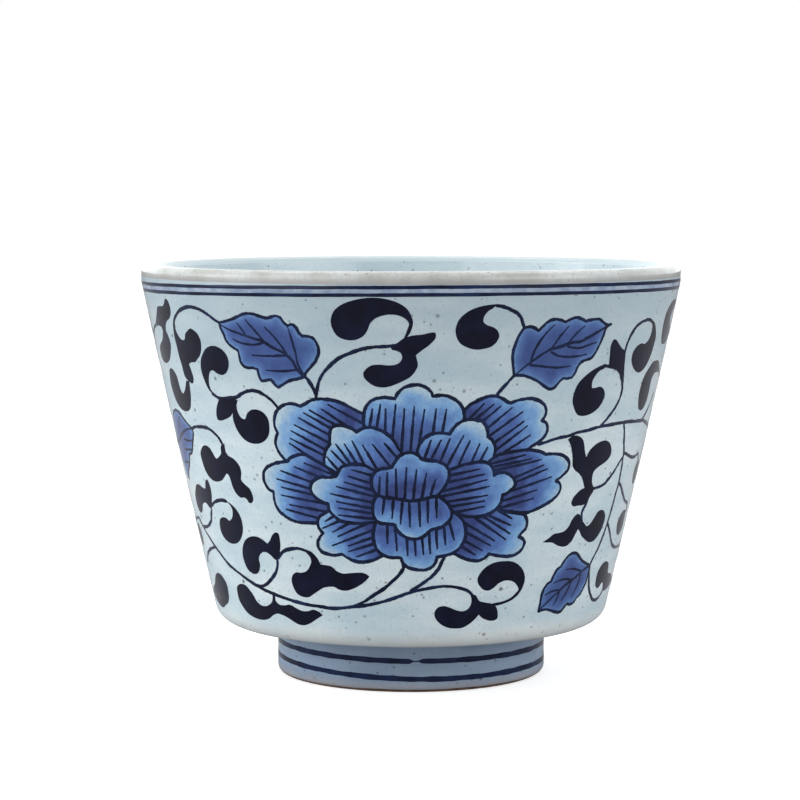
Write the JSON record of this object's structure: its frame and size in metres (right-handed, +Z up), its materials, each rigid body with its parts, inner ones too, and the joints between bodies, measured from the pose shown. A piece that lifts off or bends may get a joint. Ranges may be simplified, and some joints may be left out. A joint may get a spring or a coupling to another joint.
{
  "type": "teacup",
  "caption": "Handleless flared stoneware teacup on a low foot ring, glazed inside and out, with dark blue bands at the rim and foot.",
  "frame": {"origin": "on the cup's axis, at the plane the foot ring stands on", "axes": "+Z up along the cup's axis; +Y points away from the side with the large flower"},
  "size_m": [0.08, 0.08, 0.061],
  "materials": {
    "stoneware": "bare fired clay, brown-grey, matt and slightly gritty",
    "pale_glaze": "glossy pale grey-blue glaze with fine dark specks",
    "lip_glaze": "thin glaze over the lip, beige-grey where the clay shows through",
    "cobalt_line": "dark navy underglaze line",
    "cobalt_wash": "thin lavender-blue underglaze wash"
  },
  "bodies": {
    "root": {"clay_bowl": "stoneware", "foot_ring": "stoneware", "inner_glaze": "pale_glaze", "outer_glaze": "pale_glaze", "foot_glaze": "pale_glaze", "base_glaze": "pale_glaze", "lip_glaze": "lip_glaze", "rim_line_upper": "cobalt_line", "rim_line_lower": "cobalt_line", "rim_wash_band": "cobalt_wash", "foot_line_upper": "cobalt_line", "foot_line_lower": "cobalt_line"}
  },
  "joints": []
}
